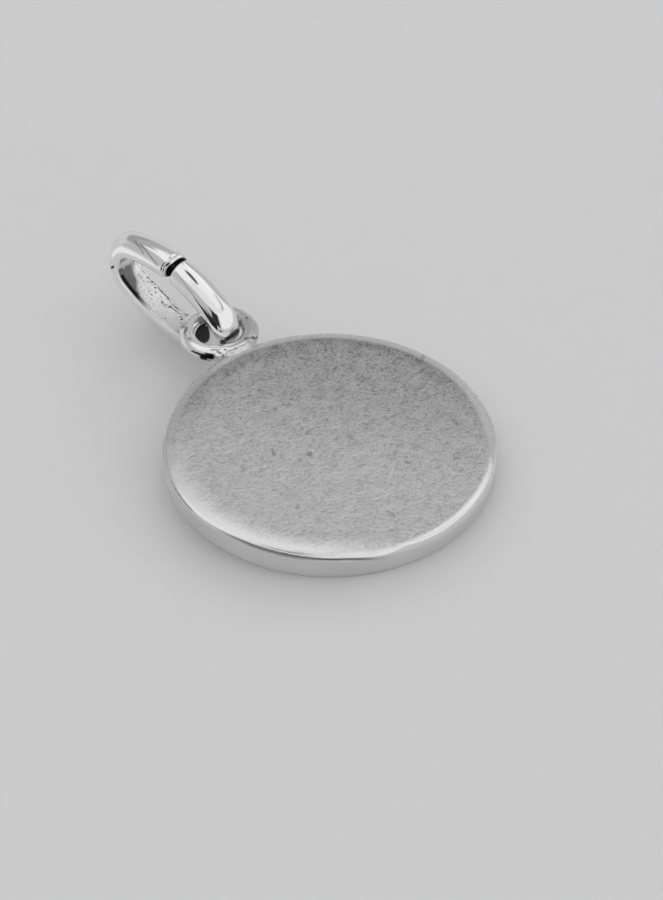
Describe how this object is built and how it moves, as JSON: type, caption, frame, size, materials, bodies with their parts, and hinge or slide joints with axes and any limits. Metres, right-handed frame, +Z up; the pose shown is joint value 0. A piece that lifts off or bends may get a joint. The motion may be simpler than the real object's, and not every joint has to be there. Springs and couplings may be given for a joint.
{
  "type": "religious medal pendant",
  "caption": "Round cast silver medal lying face down, with a plain back, a soldered wire eyelet and an open oval jump ring for a chain.",
  "frame": {"origin": "on the table, under the middle of the lying pendant's bounding box", "axes": "+Z up from the table, +Y from the disc towards the eyelet and the jump ring, +X to the right of that"},
  "size_m": [0.018, 0.0286, 0.0055],
  "materials": {
    "cast_silver": "sterling silver, cast and tumbled, satin with a fine grain and a few pits",
    "polished_silver": "sterling silver wire, polished outside and left rough on the flat inner wall"
  },
  "bodies": {
    "root": {"medal": "cast_silver", "jump_ring": "polished_silver"}
  },
  "joints": []
}
